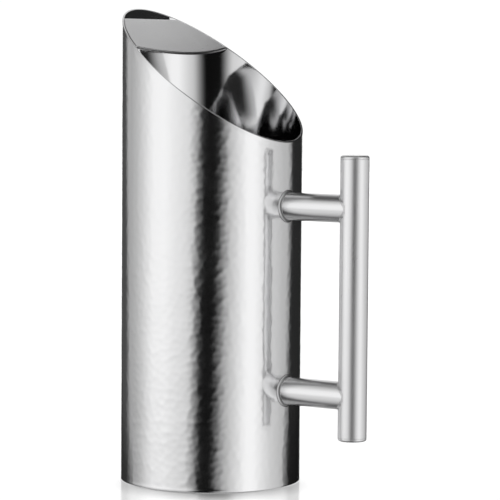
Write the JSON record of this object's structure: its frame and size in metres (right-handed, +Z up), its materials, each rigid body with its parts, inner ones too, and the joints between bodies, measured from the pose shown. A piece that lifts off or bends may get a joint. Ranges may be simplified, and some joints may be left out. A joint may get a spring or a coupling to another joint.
{
  "type": "silver water pitcher",
  "caption": "Tall cylindrical hammered-steel water pitcher with a slant-cut mouth, a fixed flat ice guard behind the spout and a straight vertical bar handle on two round posts.",
  "frame": {"origin": "centre of the base, on the plane that the pitcher stands on", "axes": "+Z up along the body's axis, +X towards the handle, -X towards the spout; the XZ plane is the mirror plane"},
  "size_m": [0.1556, 0.104, 0.2718],
  "materials": {
    "hammered_steel": "polished, with a fine shallow hammered texture outside and a plain satin wall inside",
    "satin_steel": "satin",
    "polished_steel": "semi-polished, with a fine lengthwise grain",
    "weld_steel": "dressed and polished weld"
  },
  "bodies": {
    "root": {"body_tube": "hammered_steel", "base_pan": "satin_steel", "base_seam_weld": "weld_steel", "ice_guard": "satin_steel", "ice_guard_welds": "weld_steel", "handle_bar": "polished_steel", "bar_cap_top": "polished_steel", "bar_cap_bottom": "polished_steel", "upper_post": "polished_steel", "lower_post": "polished_steel", "upper_body_weld": "weld_steel", "lower_body_weld": "weld_steel", "upper_bar_weld": "weld_steel", "lower_bar_weld": "weld_steel"}
  },
  "joints": []
}
